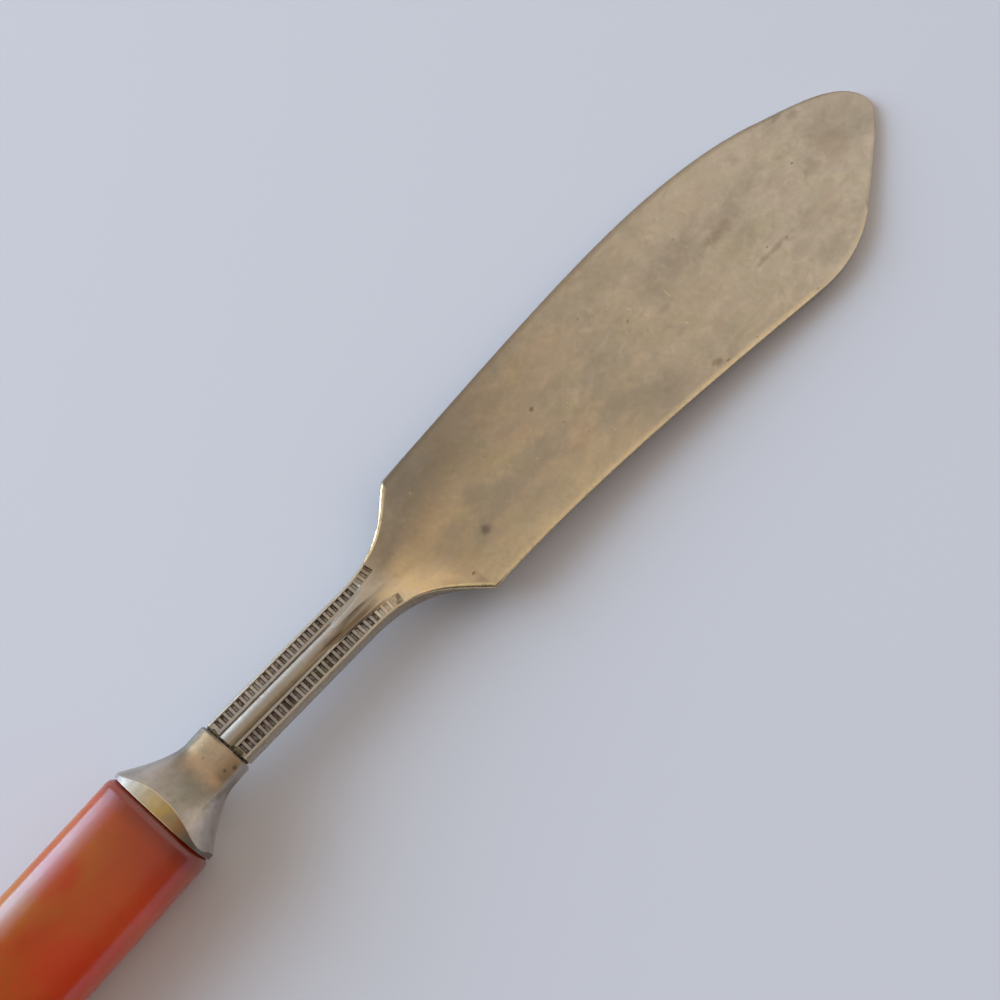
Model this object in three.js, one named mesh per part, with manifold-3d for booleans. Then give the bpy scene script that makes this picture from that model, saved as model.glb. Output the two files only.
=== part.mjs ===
// Butter knife: a broad flat spreading blade forged in one piece with a milled shank and a tang,
// a hollow flared collar, and a cast handle bedded on the tang with cement.
// Millimetres. +X runs to the tip, +Y to the back of the blade, +Z up.
// Stations along X are counted from the front face of the handle, and z from the handle's middle line.

import * as THREE from 'three';
import { mergeGeometries, mergeVertices } from 'three/addons/utils/BufferGeometryUtils.js';
import Module from 'manifold-3d';

const wasm = await Module();
wasm.setup();

// Handle
const HANDLE_LENGTH = 70;
const HANDLE_WIDTH = 12;
const HANDLE_THICKNESS = 10;
const HANDLE_EDGE_RADIUS = 3;
const HANDLE_FRONT_ROUNDING = 1;
const HANDLE_BUTT_ROUNDING = 2.5;

// Tang, and the cement that fills the handle's hole round it
const TANG_WIDTH = 3.2;
const TANG_THICKNESS = 2.2;
const TANG_DEPTH = 48;
const TANG_END_WIDTH = 2;
const CEMENT_WALL = 1;
const CEMENT_BELOW_TANG = 1.5;
const BED_GAP = 0.1;

// Collar: a horn that opens towards the handle, trimmed flush with the handle's four sides
const COLLAR_LENGTH = 9.2;
const COLLAR_WALL = 0.6;
const COLLAR_END_WALL = 0.8;
const COLLAR_INSET = 0.25;
const NECK_WIDTH = 6.1;
const NECK_THICKNESS = 5;
const NECK_LENGTH = 2.6;
const SIDE_FACET = 0.7;
const FACE_FACET = 1.7;
const FLARE_POWER = 1.45;
const NECK_SQUARENESS = 4;
const RIM_SQUARENESS = 2.27;

// Solder film between the collar's end and the shoulder of the shank
const SOLDER_FILM = 0.3;
const SOLDER_SHOW = 0.2;

// Shank and blade in plan, from the shoulder on
const SHANK_LENGTH = 30.3;
const SHANK_WIDTH = 4.85;
const ROOT_FLARE = 12.4;
const ROOT_SKEW = 0.2;
const BLADE_LENGTH = 74.4;
const SPINE_AT_ROOT = 8.15;
const EDGE_AT_ROOT = 8.65;
const SPINE_BELLY = 10.3;
const SPINE_BELLY_FROM_TIP = 35.2;
const EDGE_BELLY = 11.95;
const EDGE_BELLY_FROM_TIP = 24;
const POINT_FROM_TIP = 11.5;
const SPINE_AT_POINT = 7.15;
const EDGE_AT_POINT = 9.15;
const TIP_DROP = 0.3;
const BLADE_SET_DEGREES = 1.9;

// Curve handles of the outline: how far each curve leaves its first point and arrives at its last
const SPINE_CURVES = {
  flare: { leave: [8.2, 0], arrive: [3, 1.9] },
  back: { leave: [13.2, 0.85], arrive: [11.5, 0] },
  sweep: { leave: [8.5, 0], arrive: [6.2, -2.25] },
  nose: { leave: [5.2, -1.65], arrive: [0, -4.2] },
};
const EDGE_CURVES = {
  flare: { leave: [7, 0], arrive: [3.6, -3.45] },
  back: { leave: [13.8, 0.5], arrive: [18.7, -2.05] },
  sweep: { leave: [4.5, -0.5], arrive: [3.8, 2.4] },
  nose: { leave: [5, 3.25], arrive: [0, 1.9] },
};

// Thickness of the forging
const SHANK_THICKNESS = 3.3;
const BLADE_THICKNESS = 1.7;
const EDGE_THICKNESS = 0.8;
const TIP_THICKNESS = 0.8;
const SCOOP_PAST_ROOT = 3;

// Ornament of the shank: a milled band along each edge and a half-round rib between two grooves
const MILL_PITCH = 0.74;
const MILL_SLOT_WIDTH = 0.38;
const MILL_SLOT_LENGTH = 0.86;
const MILL_SLOT_DEPTH = 0.3;
const MILL_RIM = 0.2;
const MILL_PAST_FLARE = 4.4;
const RIB_WIDTH = 1.7;
const RIB_RISE = 0.45;
const RIB_PAST_FLARE = 1;
const RIB_TAPER = 5;
const GROOVE_WIDTH = 0.22;
const GROOVE_DEPTH = 0.2;

// Fineness of the curved surfaces
const HORN_SIDES = 48;
const HORN_STEPS = 14;
const ARC_STEPS = 5;
const SPINDLE_SIDES = 16;
const STEPS_TO_TIP = [1, 12, 12, 7, 9];
const LAST_STEP_SHORT = 0.03;
const ACROSS_BLADE = [0, 0.08, 0.22, 0.4, 0.7, 1];
const CUT_MARGIN = 1;

const QUARTER_TURN = Math.PI / 2;
const BLADE_SET = THREE.MathUtils.degToRad(BLADE_SET_DEGREES);
const SHOULDER = COLLAR_LENGTH + SOLDER_FILM;
const REACH = SHANK_LENGTH + BLADE_LENGTH;
const FLARE_FROM = SHANK_LENGTH - ROOT_FLARE;
const BORE_DEPTH = TANG_DEPTH + CEMENT_BELOW_TANG;
// The blade leans down from the shoulder so that its tip lies on the plane under the handle.
const LEAN = (HANDLE_THICKNESS - TIP_THICKNESS) / 2 / REACH;

const { lerp, smoothstep } = THREE.MathUtils;

function toManifold(geometry) {
  const bare = geometry.clone();
  bare.deleteAttribute('normal');
  bare.deleteAttribute('uv');
  const welded = mergeVertices(bare);
  return new wasm.Manifold(new wasm.Mesh({
    numProp: 3,
    vertProperties: new Float32Array(welded.attributes.position.array),
    triVerts: new Uint32Array(welded.index.array),
  }));
}

function toGeometry(manifold) {
  const mesh = manifold.getMesh();
  const geometry = new THREE.BufferGeometry();
  geometry.setAttribute('position', new THREE.BufferAttribute(mesh.vertProperties, 3));
  geometry.setIndex(new THREE.BufferAttribute(mesh.triVerts, 1));
  geometry.computeVertexNormals();
  return geometry;
}

// Closed solid through rings of equal point counts, from the lowest x to the highest.
// Each ring runs anticlockwise seen from +X.
function loft(rings) {
  const sides = rings[0].length;
  const points = rings.flat();
  const faces = [];
  for (let ring = 0; ring + 1 < rings.length; ring += 1) {
    for (let side = 0; side < sides; side += 1) {
      const here = ring * sides + side;
      const next = ring * sides + (side + 1) % sides;
      faces.push(here, next, next + sides);
      faces.push(here, next + sides, here + sides);
    }
  }
  const last = points.length - sides;
  for (let side = 1; side + 1 < sides; side += 1) {
    faces.push(0, side + 1, side);
    faces.push(last, last + side, last + side + 1);
  }
  const geometry = new THREE.BufferGeometry().setFromPoints(points);
  geometry.setIndex(faces);
  return toManifold(geometry);
}

function rectangle(station, width, thickness) {
  const y = width / 2;
  const z = thickness / 2;
  return [[-y, -z], [y, -z], [y, z], [-y, z]].map((corner) => new THREE.Vector3(station, ...corner));
}

function roundedRectangle(station, width, thickness, radius) {
  const outline = new THREE.Shape();
  const y = width / 2 - radius;
  const z = thickness / 2 - radius;
  outline.absarc(y, z, radius, 0, QUARTER_TURN);
  outline.absarc(-y, z, radius, QUARTER_TURN, 2 * QUARTER_TURN);
  outline.absarc(-y, -z, radius, 2 * QUARTER_TURN, 3 * QUARTER_TURN);
  outline.absarc(y, -z, radius, 3 * QUARTER_TURN, 4 * QUARTER_TURN);
  return outline.getPoints(ARC_STEPS).map((p) => new THREE.Vector3(station, p.x, p.y));
}

function straightBar(from, to, width, thickness) {
  return loft([rectangle(from, width, thickness), rectangle(to, width, thickness)]);
}

// Tang from its end in the handle to a station in front; a gap all round makes the hole for it.
function tangBar(gap, front) {
  const thickness = TANG_THICKNESS + 2 * gap;
  return loft([
    rectangle(-TANG_DEPTH - gap, TANG_END_WIDTH + 2 * gap, thickness),
    rectangle(0, TANG_WIDTH + 2 * gap, thickness),
    rectangle(front, TANG_WIDTH + 2 * gap, thickness),
  ]);
}

function handleBore(gap, front) {
  const width = TANG_WIDTH + 2 * CEMENT_WALL - 2 * gap;
  const thickness = TANG_THICKNESS + 2 * CEMENT_WALL - 2 * gap;
  return straightBar(-BORE_DEPTH + gap, front, width, thickness);
}

function handleSection(station, inset) {
  return roundedRectangle(
    station,
    HANDLE_WIDTH - 2 * inset,
    HANDLE_THICKNESS - 2 * inset,
    HANDLE_EDGE_RADIUS - inset,
  );
}

function handle() {
  const roundedEnd = (end, outward, radius) => Array.from({ length: ARC_STEPS + 1 }, (_, step) => {
    const turn = (step / ARC_STEPS) * QUARTER_TURN;
    const station = end - outward * radius * (1 - Math.sin(turn));
    return handleSection(station, radius * (1 - Math.cos(turn)));
  });
  const butt = roundedEnd(-HANDLE_LENGTH, -1, HANDLE_BUTT_ROUNDING).reverse();
  const front = roundedEnd(0, 1, HANDLE_FRONT_ROUNDING);
  return loft([...butt, ...front]).subtract(handleBore(0, CUT_MARGIN));
}

function tangCement() {
  return handleBore(BED_GAP, 0).subtract(tangBar(BED_GAP, CUT_MARGIN));
}

// Section of the horn: a squared-off oval that widens and grows rounder towards the handle.
function hornSection(station, inset) {
  const start = COLLAR_LENGTH - NECK_LENGTH;
  const opened = Math.max(0, start - station);
  const grow = (neck, rim, facet) => neck + (rim - neck) * (opened / (start - facet)) ** FLARE_POWER;
  const rimWidth = HANDLE_WIDTH - 2 * COLLAR_INSET;
  const rimThickness = HANDLE_THICKNESS - 2 * COLLAR_INSET;
  const y = grow(NECK_WIDTH, rimWidth, SIDE_FACET) / 2 - inset;
  const z = grow(NECK_THICKNESS, rimThickness, FACE_FACET) / 2 - inset;
  const power = 2 / lerp(NECK_SQUARENESS, RIM_SQUARENESS, Math.min(1, opened / start));
  const bend = (value) => Math.sign(value) * Math.abs(value) ** power;
  return Array.from({ length: HORN_SIDES }, (_, side) => {
    const angle = ((side + 0.5) / HORN_SIDES) * 4 * QUARTER_TURN;
    return new THREE.Vector3(station, y * bend(Math.cos(angle)), z * bend(Math.sin(angle)));
  });
}

function horn(inset, from, to) {
  const rings = Array.from({ length: HORN_STEPS + 1 }, (_, step) => (
    hornSection(lerp(from, to, step / HORN_STEPS), inset)
  ));
  const trim = loft([
    handleSection(from - CUT_MARGIN, COLLAR_INSET + inset),
    handleSection(to + CUT_MARGIN, COLLAR_INSET + inset),
  ]);
  return loft(rings).intersect(trim);
}

function collar() {
  return horn(0, 0, COLLAR_LENGTH)
    .subtract(horn(COLLAR_WALL, -CUT_MARGIN, COLLAR_LENGTH - COLLAR_END_WALL))
    .subtract(tangBar(BED_GAP, COLLAR_LENGTH + CUT_MARGIN));
}

function collarFiller() {
  return horn(COLLAR_WALL + BED_GAP, 0, COLLAR_LENGTH - COLLAR_END_WALL - BED_GAP)
    .subtract(tangBar(BED_GAP, COLLAR_LENGTH));
}

function seamSolder() {
  const width = SHANK_WIDTH + 2 * SOLDER_SHOW;
  const thickness = SHANK_THICKNESS + 2 * SOLDER_SHOW;
  return straightBar(COLLAR_LENGTH, SHOULDER, width, thickness)
    .subtract(tangBar(BED_GAP, SHOULDER + CUT_MARGIN));
}

function curveBetween(from, to, { leave, arrive }) {
  const out = new THREE.Vector2(...leave).add(from);
  const back = new THREE.Vector2(...arrive).negate().add(to);
  return new THREE.CubicBezierCurve(from, out, back, to);
}

// One long side of the forging in plan, from the shoulder to the tip.
function planSide(root, belly, point, handles) {
  const half = Math.sign(root.y) * (SHANK_WIDTH / 2);
  const flare = new THREE.Vector2(FLARE_FROM, half);
  const tip = new THREE.Vector2(REACH, -TIP_DROP);
  return [
    new THREE.LineCurve(new THREE.Vector2(-CUT_MARGIN, half), flare),
    curveBetween(flare, root, handles.flare),
    curveBetween(root, belly, handles.back),
    curveBetween(belly, point, handles.sweep),
    curveBetween(point, tip, handles.nose),
  ];
}

const spineSide = planSide(
  new THREE.Vector2(SHANK_LENGTH + ROOT_SKEW / 2, SPINE_AT_ROOT),
  new THREE.Vector2(REACH - SPINE_BELLY_FROM_TIP, SPINE_BELLY),
  new THREE.Vector2(REACH - POINT_FROM_TIP, SPINE_AT_POINT),
  SPINE_CURVES,
);
const edgeSide = planSide(
  new THREE.Vector2(SHANK_LENGTH - ROOT_SKEW / 2, -EDGE_AT_ROOT),
  new THREE.Vector2(REACH - EDGE_BELLY_FROM_TIP, -EDGE_BELLY),
  new THREE.Vector2(REACH - POINT_FROM_TIP, -EDGE_AT_POINT),
  EDGE_CURVES,
);

// Half the thickness at a distance from the shoulder; across is 0 at the cutting edge and 1 at the back.
function halfThickness(x, across) {
  const toTip = THREE.MathUtils.clamp((x - SHANK_LENGTH) / BLADE_LENGTH, 0, 1);
  const plate = lerp(BLADE_THICKNESS, TIP_THICKNESS, toTip);
  const ground = lerp(EDGE_THICKNESS, plate, 1 - (1 - across) ** 2);
  const scooped = smoothstep(x, FLARE_FROM, SHANK_LENGTH + SCOOP_PAST_ROOT);
  return lerp(SHANK_THICKNESS, ground, scooped) / 2;
}

function bladeRing(edge, spine) {
  const place = (across, face) => {
    const p = edge.clone().lerp(spine, across);
    return new THREE.Vector3(p.x, p.y, face * halfThickness(p.x, across));
  };
  const under = ACROSS_BLADE.map((across) => place(across, -1));
  const upper = ACROSS_BLADE.map((across) => place(across, 1)).reverse();
  return [...under, ...upper];
}

function bladeBody() {
  const rings = [bladeRing(edgeSide[0].getPoint(0), spineSide[0].getPoint(0))];
  STEPS_TO_TIP.forEach((steps, stretch) => {
    for (let step = 1; step <= steps; step += 1) {
      const atTip = stretch === STEPS_TO_TIP.length - 1 && step === steps;
      const t = step / steps - (atTip ? LAST_STEP_SHORT : 0);
      rings.push(bladeRing(edgeSide[stretch].getPoint(t), spineSide[stretch].getPoint(t)));
    }
  });
  return loft(rings);
}

// Slots of the milled band along one side, on both faces; inward turns the tangent towards the middle.
function milledBand(side, across) {
  const path = new THREE.CurvePath();
  path.add(side[0]);
  path.add(side[1]);
  const inward = across ? -QUARTER_TURN : QUARTER_TURN;
  const slots = [];
  for (let at = MILL_PITCH; at < FLARE_FROM + MILL_PAST_FLARE; at += MILL_PITCH) {
    const share = (at + CUT_MARGIN) / path.getLength();
    const tangent = path.getTangent(share).angle();
    const depth = MILL_RIM + MILL_SLOT_LENGTH / 2;
    const toMiddle = new THREE.Vector2(depth, 0).rotateAround(new THREE.Vector2(), tangent + inward);
    const place = path.getPoint(share).add(toMiddle);
    for (const face of [-1, 1]) {
      const slot = new THREE.BoxGeometry(MILL_SLOT_WIDTH, MILL_SLOT_LENGTH, 2 * MILL_SLOT_DEPTH);
      slot.rotateZ(tangent);
      slots.push(slot.translate(place.x, place.y, face * halfThickness(place.x, across)));
    }
  }
  return toManifold(mergeGeometries(slots));
}

// Long rod with one tapered end, lying on a face of the shank from the shoulder on.
function spindle(face, offset, width, rise) {
  const length = CUT_MARGIN + FLARE_FROM + RIB_PAST_FLARE;
  const profile = new THREE.Path();
  profile.moveTo(0, 0);
  profile.lineTo(1, 0);
  profile.lineTo(1, length - RIB_TAPER);
  profile.quadraticCurveTo(1, length - RIB_TAPER / 2, 0, length);
  const rod = new THREE.LatheGeometry(profile.getPoints(ARC_STEPS), SPINDLE_SIDES);
  rod.rotateZ(-QUARTER_TURN);
  rod.scale(1, width / 2, rise);
  return toManifold(rod.translate(-CUT_MARGIN, offset, (face * SHANK_THICKNESS) / 2));
}

// Shank and blade are made a little too long at the back, turned to the edge side and leant down,
// and then cut off square at the shoulder.
function forging() {
  let body = bladeBody();
  for (const face of [-1, 1]) {
    body = body.add(spindle(face, 0, RIB_WIDTH, RIB_RISE));
    for (const side of [-1, 1]) {
      const offset = (side * (RIB_WIDTH + GROOVE_WIDTH)) / 2;
      body = body.subtract(spindle(face, offset, GROOVE_WIDTH, GROOVE_DEPTH));
    }
  }
  body = body.subtract(milledBand(spineSide, 1)).subtract(milledBand(edgeSide, 0));
  const leaning = toGeometry(body);
  leaning.rotateZ(-BLADE_SET);
  leaning.applyMatrix4(new THREE.Matrix4().makeShear(0, -LEAN, 0, 0, 0, 0));
  leaning.translate(SHOULDER, 0, 0);
  const before = straightBar(0, SHOULDER, HANDLE_WIDTH, HANDLE_THICKNESS);
  return toManifold(leaning).subtract(before).add(tangBar(0, SHOULDER + CUT_MARGIN));
}

function piece(name, solid, color, roughness, metalness) {
  const mesh = new THREE.Mesh(
    toGeometry(solid),
    new THREE.MeshStandardMaterial({ color, roughness, metalness }),
  );
  mesh.name = name;
  return mesh;
}

const assembly = new THREE.Group();
assembly.add(
  piece('blade', forging(), 0x9b8b6f, 0.42, 1),
  piece('collar', collar(), 0xa99c80, 0.38, 1),
  piece('handle', handle(), 0xa8431a, 0.18, 0),
  piece('tang_cement', tangCement(), 0x5b4a3a, 0.85, 0),
  piece('collar_filler', collarFiller(), 0x6b5c4a, 0.85, 0),
  piece('seam_solder', seamSolder(), 0x4a443c, 0.6, 1),
);

// The part stands on its lowest point, with the middle of its box over the origin.
const bounds = new THREE.Box3().setFromObject(assembly);
const middle = bounds.getCenter(new THREE.Vector3());
assembly.position.set(-middle.x, -middle.y, -bounds.min.z);

const knife = new THREE.Group();
knife.add(assembly);

export default knife;
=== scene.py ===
"""Butter knife: the finished surfaces of the blade, collar, handle and solder seam.

Lengths are in metres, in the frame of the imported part: +X to the tip, +Y to the back of the blade, +Z up.
"""

from math import atan2, cos, pi, radians, sin, sqrt, tan

import bmesh
import bpy
from bpy.props import FloatProperty, FloatVectorProperty, IntProperty, PointerProperty
from mathutils import Matrix, Vector, noise
from mathutils.geometry import interpolate_bezier


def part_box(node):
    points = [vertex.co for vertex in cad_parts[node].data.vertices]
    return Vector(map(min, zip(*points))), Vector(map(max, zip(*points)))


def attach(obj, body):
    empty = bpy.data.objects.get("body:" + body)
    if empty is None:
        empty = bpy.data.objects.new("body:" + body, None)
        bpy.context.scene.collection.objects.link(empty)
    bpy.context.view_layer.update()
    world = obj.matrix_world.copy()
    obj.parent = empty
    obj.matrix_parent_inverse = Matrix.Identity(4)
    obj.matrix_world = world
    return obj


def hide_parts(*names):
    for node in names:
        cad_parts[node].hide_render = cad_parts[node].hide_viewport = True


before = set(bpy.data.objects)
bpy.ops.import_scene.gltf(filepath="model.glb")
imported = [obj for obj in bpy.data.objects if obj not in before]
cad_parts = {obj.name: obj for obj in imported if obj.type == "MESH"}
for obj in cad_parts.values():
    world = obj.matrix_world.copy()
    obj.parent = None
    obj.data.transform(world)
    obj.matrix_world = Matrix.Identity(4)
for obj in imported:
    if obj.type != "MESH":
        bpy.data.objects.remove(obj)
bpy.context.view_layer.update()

bl_info = {
    "name": "Butter knife",
    "version": (1, 0, 0),
    "blender": (4, 5, 0),
    "location": "View3D > Sidebar > Knife",
    "description": "Makes the finished pieces of a butter knife round its packed frame",
    "category": "Object",
}

MM = 0.001

# Places that the frame gives
HANDLE_LOW, HANDLE_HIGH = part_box("handle")
HANDLE_MIDDLE = (HANDLE_LOW + HANDLE_HIGH) / 2
# In the picture the handle is a little wider than its solid
HANDLE_WIDENING = 0.5 * MM
HANDLE_SIZE = HANDLE_HIGH - HANDLE_LOW + Vector((0, HANDLE_WIDENING, 0))
FRONT = Vector((HANDLE_HIGH.x, HANDLE_MIDDLE.y, HANDLE_MIDDLE.z))
COLLAR_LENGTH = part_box("collar")[1].x - FRONT.x
SOLDER_LOW, SOLDER_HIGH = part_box("seam_solder")
SHOULDER = Vector((SOLDER_HIGH.x, FRONT.y, FRONT.z))
TANG_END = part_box("blade")[0].x

# The forging's two long sides in plan, from the shoulder on: their points in millimetres, the root's from
# the shank's end and the others' from the tip's, and how the curves between them leave and arrive
SHANK_LENGTH = 30.3 * MM
ROOT_FLARE = 12.4 * MM
BLADE_LENGTH = 74.4 * MM
REACH = SHANK_LENGTH + BLADE_LENGTH
FLARE_FROM = SHANK_LENGTH - ROOT_FLARE
SPINE_POINTS = {"root": (0.1, 8.15), "belly": (-35.2, 10.3), "point": (-11.5, 7.15), "tip": (0, -0.3)}
EDGE_POINTS = {"root": (-0.1, -8.65), "belly": (-24, -11.95), "point": (-11.5, -9.15), "tip": (0, -0.3)}
SPINE_CURVES = {
    "flare": ((8.2, 0), (3, 1.9)),
    "back": ((13.2, 0.85), (11.5, 0)),
    "sweep": ((8.5, 0), (6.2, -2.25)),
    "nose": ((5.2, -1.65), (0, -4.2)),
}
EDGE_CURVES = {
    "flare": ((7, 0), (3.6, -3.45)),
    "back": ((13.8, 0.5), (18.7, -2.05)),
    "sweep": ((4.5, -0.5), (3.8, 2.4)),
    "nose": ((5, 3.25), (0, 1.9)),
}
# The forging begins a little behind the shoulder, where it is cut off square later
BEHIND_SHOULDER = 1 * MM
CURVE_POINTS = 120
# The hollow that leads from the shank down to the blade: distance from the middle line, start and end
SCOOP = (
    (-3.5, 24.2, 32),
    (-2.1, 21.8, 30),
    (-1.3, 18.2, 29),
    (-0.9, 13.5, 28),
    (-0.5, 12.5, 28),
    (-0.2, 15, 28),
    (0.15, 18.7, 28),
    (1.5, 20.8, 28),
    (3.1, 23.4, 29),
    (4.5, 25.5, 31),
)
# Where the rib and the groove sink in, from the hollow's start, and where the shank's lines begin to spread
RIB_FADE = (2.5 * MM, -3.5 * MM)
GROOVE_FADE = (-1 * MM, -9 * MM)
BANDS_SPREAD_FROM = FLARE_FROM + 4.6 * MM
RIB_SPREADS_FROM = FLARE_FROM - 3 * MM

# The blade's mesh: its stretches along each side, and the rows in those beyond the bands
BAND, FLARE, BACK, SWEEP, NOSE = range(5)
STRETCH_ROWS = {FLARE: 16, BACK: 30, SWEEP: 14, NOSE: 22}
# Where the rounding of the upper edges changes, in stretches and shares of them
FLARE_ROUNDS = (FLARE - 0.03, FLARE + 0.3)
PLATE_ROUNDS = (BACK - 0.1, BACK + 0.15)
# Lines across one half: round the edge, over the groove and the rib, and on the blade
ROUNDING_STEPS = 3
GROOVE_SHARES = (1, 0.5, 0)
RIB_SHARES = (0.97, 0.88, 0.74, 0.56, 0.37, 0.19)
BLADE_SHARES = (0.03, 0.09, 0.15, 0.2, 0.25, 0.3, 0.345, 0.38, 0.41, 0.44, 0.47)

# Pairs are for the sides of the cutting edge and of the back.
# How worn the upper edges are by stretch, their wear also a painted highlight (below 0 darkened: partly
# tarnish, partly painted shade), and how worn the side walls are at most
EDGE_WEAR_AND_HIGHLIGHT = ((0.5, 0.2), (1, 1), (0.7, -0.45), (0.3, -0.45), (-0.2, -0.4))
WALL_WEAR_AND_HIGHLIGHT = (0.5, 0.2)
# How dirty the slots' floors are, the bars between them, the slots' walls, and the walls at their outer ends
# towards the back; and how uneven that is
SLOT_SOIL = (1, 0.75)
BAR_SOIL = (0.5, 0.1)
WALL_SOIL = 0.8
OUTER_WALL_SOIL = 0.1
SOIL_UNEVENNESS = 0.6
SOIL_PATCH = 1.1 * MM
# The bands' last stretch, where the slots grow shallower and cleaner by these shares
BAND_RUN_OUT = 5 * MM
RUN_OUT_RISE = 0.5
RUN_OUT_CLEANING = 0.4
# How much darker the rib's top is made, and its flank to the cutting edge near the collar and near the
# blade.
# The flank begins and ends at shares of the rib's width; its darkening grows along the shank, and all fades
# at the root.
RIB_DARKENING = 0.2
FLANK_DARKENING = (0.5, 0.85)
FLANK_WEAR = 0.8
FLANK_BEGINS = (0.06, 0.28)
FLANK_ENDS = 0.49
FLANK_DARKENING_GROWS = (9 * MM, 15 * MM)
RIB_WEAR_FADES = (22 * MM, 18.5 * MM)
# Where the face is worn to the brass, beside the cutting edge and, with a painted highlight, on the tongue
# where the rib runs out, and where painted shade darkens the back of the root's hollow: how far, and the
# shares across and millimetres along where it comes and goes
BARE_EDGE, BARE_EDGE_ACROSS, BARE_EDGE_FADES = 0.4, (0.3, 0), (62, 42)
TONGUE_BRASS_AND_HIGHLIGHT, TONGUE_ACROSS, TONGUE_BEGINS, TONGUE_FADES = 0.35, (0.6, 0.35), (17, 21), (30, 24)
ROOT_SHADE_ACROSS, ROOT_SHADE_BEGINS, ROOT_SHADE_FADES = (0.48, 0.85), (19, 25), (62, 30)

# Stains and dull clouds, first the blade's and then the collar's: middle from the shoulder and the middle
# line, length and width, all in millimetres, and strength
STAINS = (
    (47.5, 2.1, 0.6, 0.5, 0.8),
    (34, -3.5, 1.2, 0.9, 0.95),
    (66, -9.1, 1.4, 0.8, 0.6),
    (66.8, -0.5, 2, 0.6, 0.2),
    (78.3, 1.2, 5.5, 1.3, 0.3),
    (81.4, -4.8, 6, 0.6, 0.35),
    (92.7, -1.2, 2.6, 2, 0.25),
    (94.5, 6, 1.8, 0.5, 0.3),
    (96.5, 4.9, 1.8, 1, 0.3),
)
DULL_CLOUDS = (
    (32.5, 7, 9, 4, 0.4),
    (50, 9, 34, 3, 0.35),
    (41, -6.2, 12, 4, 0.5),
    (49.5, 1.5, 7, 5, 0.25),
    (60, -8, 10, 4, 0.3),
    (62, 7, 12, 5, 0.25),
    (72, 2.8, 11, 5, 0.5),
    (81, 2.2, 9, 4, 0.5),
    (80.5, -1.2, 6, 2.5, 0.35),
    (87, -9.5, 7, 3, 0.35),
    (100, 0.8, 11, 9, 0.4),
)
COLLAR_STAINS = (
    (-1.3, -2.5, 0.45, 0.4, 0.8),
    (-2.1, -2, 0.3, 0.3, 0.7),
    (-2.6, 0.4, 0.25, 0.2, 0.5),
    (-3.9, -3.1, 4, 0.4, 0.45),
)
COLLAR_CLOUDS = (
    (-4.9, -0.3, 1.9, 1.8, 0.5),
    (-5.9, -1.8, 3, 2.4, 0.5),
    (-3.6, 2, 3.2, 0.8, 0.4),
)

# The collar's mesh, where its neck begins as a share of its length, and the slopes between which its plate
# is rubbed: on the flare, and on the neck towards the cutting edge. Towards the back the neck is darkened
# with painted shade that dims its highlight.
COLLAR_SIDES = 128
COLLAR_STEPS = 46
RIM_CUTS = 44
NECK_BEGINS = (0.4, 0.65)
FLARE_RUB = (0.7, 0.96)
NECK_RUB = (0.3, 0.75)
NECK_PAINTED_SHADE = 0.55
NECK_SHADE_SLOPES = (0.99, 0.86)
# The worn strip along the facets' crease is also a painted highlight.
CREASE_WEAR_AND_HIGHLIGHT = 0.5
CREASE_WEAR_FADES = (4 * MM, 2 * MM)

# The meshes of the handle and of the solder bead
HANDLE_SIDES = 128
END_STEPS = 8
BEAD_SIDES = 160
BEAD_STEPS = 6

# Noise on the plate: stretch, turn, scale, detail, roughness and distortion
PLATE_NOISE = {
    "clouds": ((0.5, 1, 1), radians(8), 150, 5, 0.6, 0.5),
    "blotches": ((0.75, 1, 1), 5, 430, 4, 0.55, 0.8),
    "tint": ((0.7, 1, 1), 2, 240, 5, 0.6, 0.6),
    "mottle": ((0.6, 1, 1), 3, 620, 4, 0.6, 0.3),
    "smears": ((0.8, 1, 1), radians(35), 480, 4, 0.58, 0.7),
    "specks": ((0.8, 1, 1), 1, 800, 2, 0.5, 0),
    "nicks": ((1, 0.6, 1), 4, 1300, 1, 0.5, 0),
    "scratches": ((40, 2600, 300), radians(12), 1, 3, 0.6, 0),
    "crossed": ((60, 3000, 300), radians(-35), 1, 3, 0.6, 0),
}
# Where that noise sets in and where it is full, and for the blotches how strong it gets
PLATE_MASKS = {
    "clouds": (0.44, 0.7),
    "blotches": (0.52, 0.72, 0.0, 0.6),
    "specks": (0.73, 0.79),
    "nicks": (0.75, 0.81),
    "scratches": (0.58, 0.72),
    "crossed": (0.6, 0.74),
}
# How noise tints the plate: where it sets in, where it is full, how strong it gets, and the tint
PLATE_TINTS = (
    ("tint", 0.5, 0.34, 0.8, (0.96, 0.985, 0.91, 1)),
    ("tint", 0.52, 0.68, 0.8, (0.99, 0.94, 0.91, 1)),
    ("mottle", 0.35, 0.65, 0.24, (0.72, 0.7, 0.66, 1)),
    ("grain", 0.3, 0.7, 0.14, (0.7, 0.68, 0.66, 1)),
    ("smears", 0.5, 0.72, 0.8, (1.14, 1.13, 1.12, 1)),
)
# How far noise dulls the plate, the noise that frays clouds and stains, and the depth of the bumps
PLATE_DULLNESS = 0.5
CLOUD_GRAIN, STAIN_GRAIN = 260, 900
BUMP = 0.1 * MM

# Where the handle grows redder and then darker with painted shade towards the collar, and where it is rubbed
# across
FLUSH_FROM_TO = (FRONT.x - 8 * MM, FRONT.x - 2 * MM)
SHADE_FROM_TO = (FRONT.x - 2.8 * MM, FRONT.x - 0.6 * MM)
RUBBED_FROM_TO = (FRONT.y + 1 * MM, FRONT.y - 5 * MM)
FLUSHED = 0.7
# Roughness of its polish, and what rubbing adds; over 0.27 in all a hard line would show
POLISH = (0.17, 0.21)
RUBBED = 0.05

# The soft lamp's panes from the floor up: lower and upper edge in degrees, and share of the radiance
WINDOW_PANES = ((0, 36, 1), (36, 47, 0.5), (47, 58, 0.2))
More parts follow.
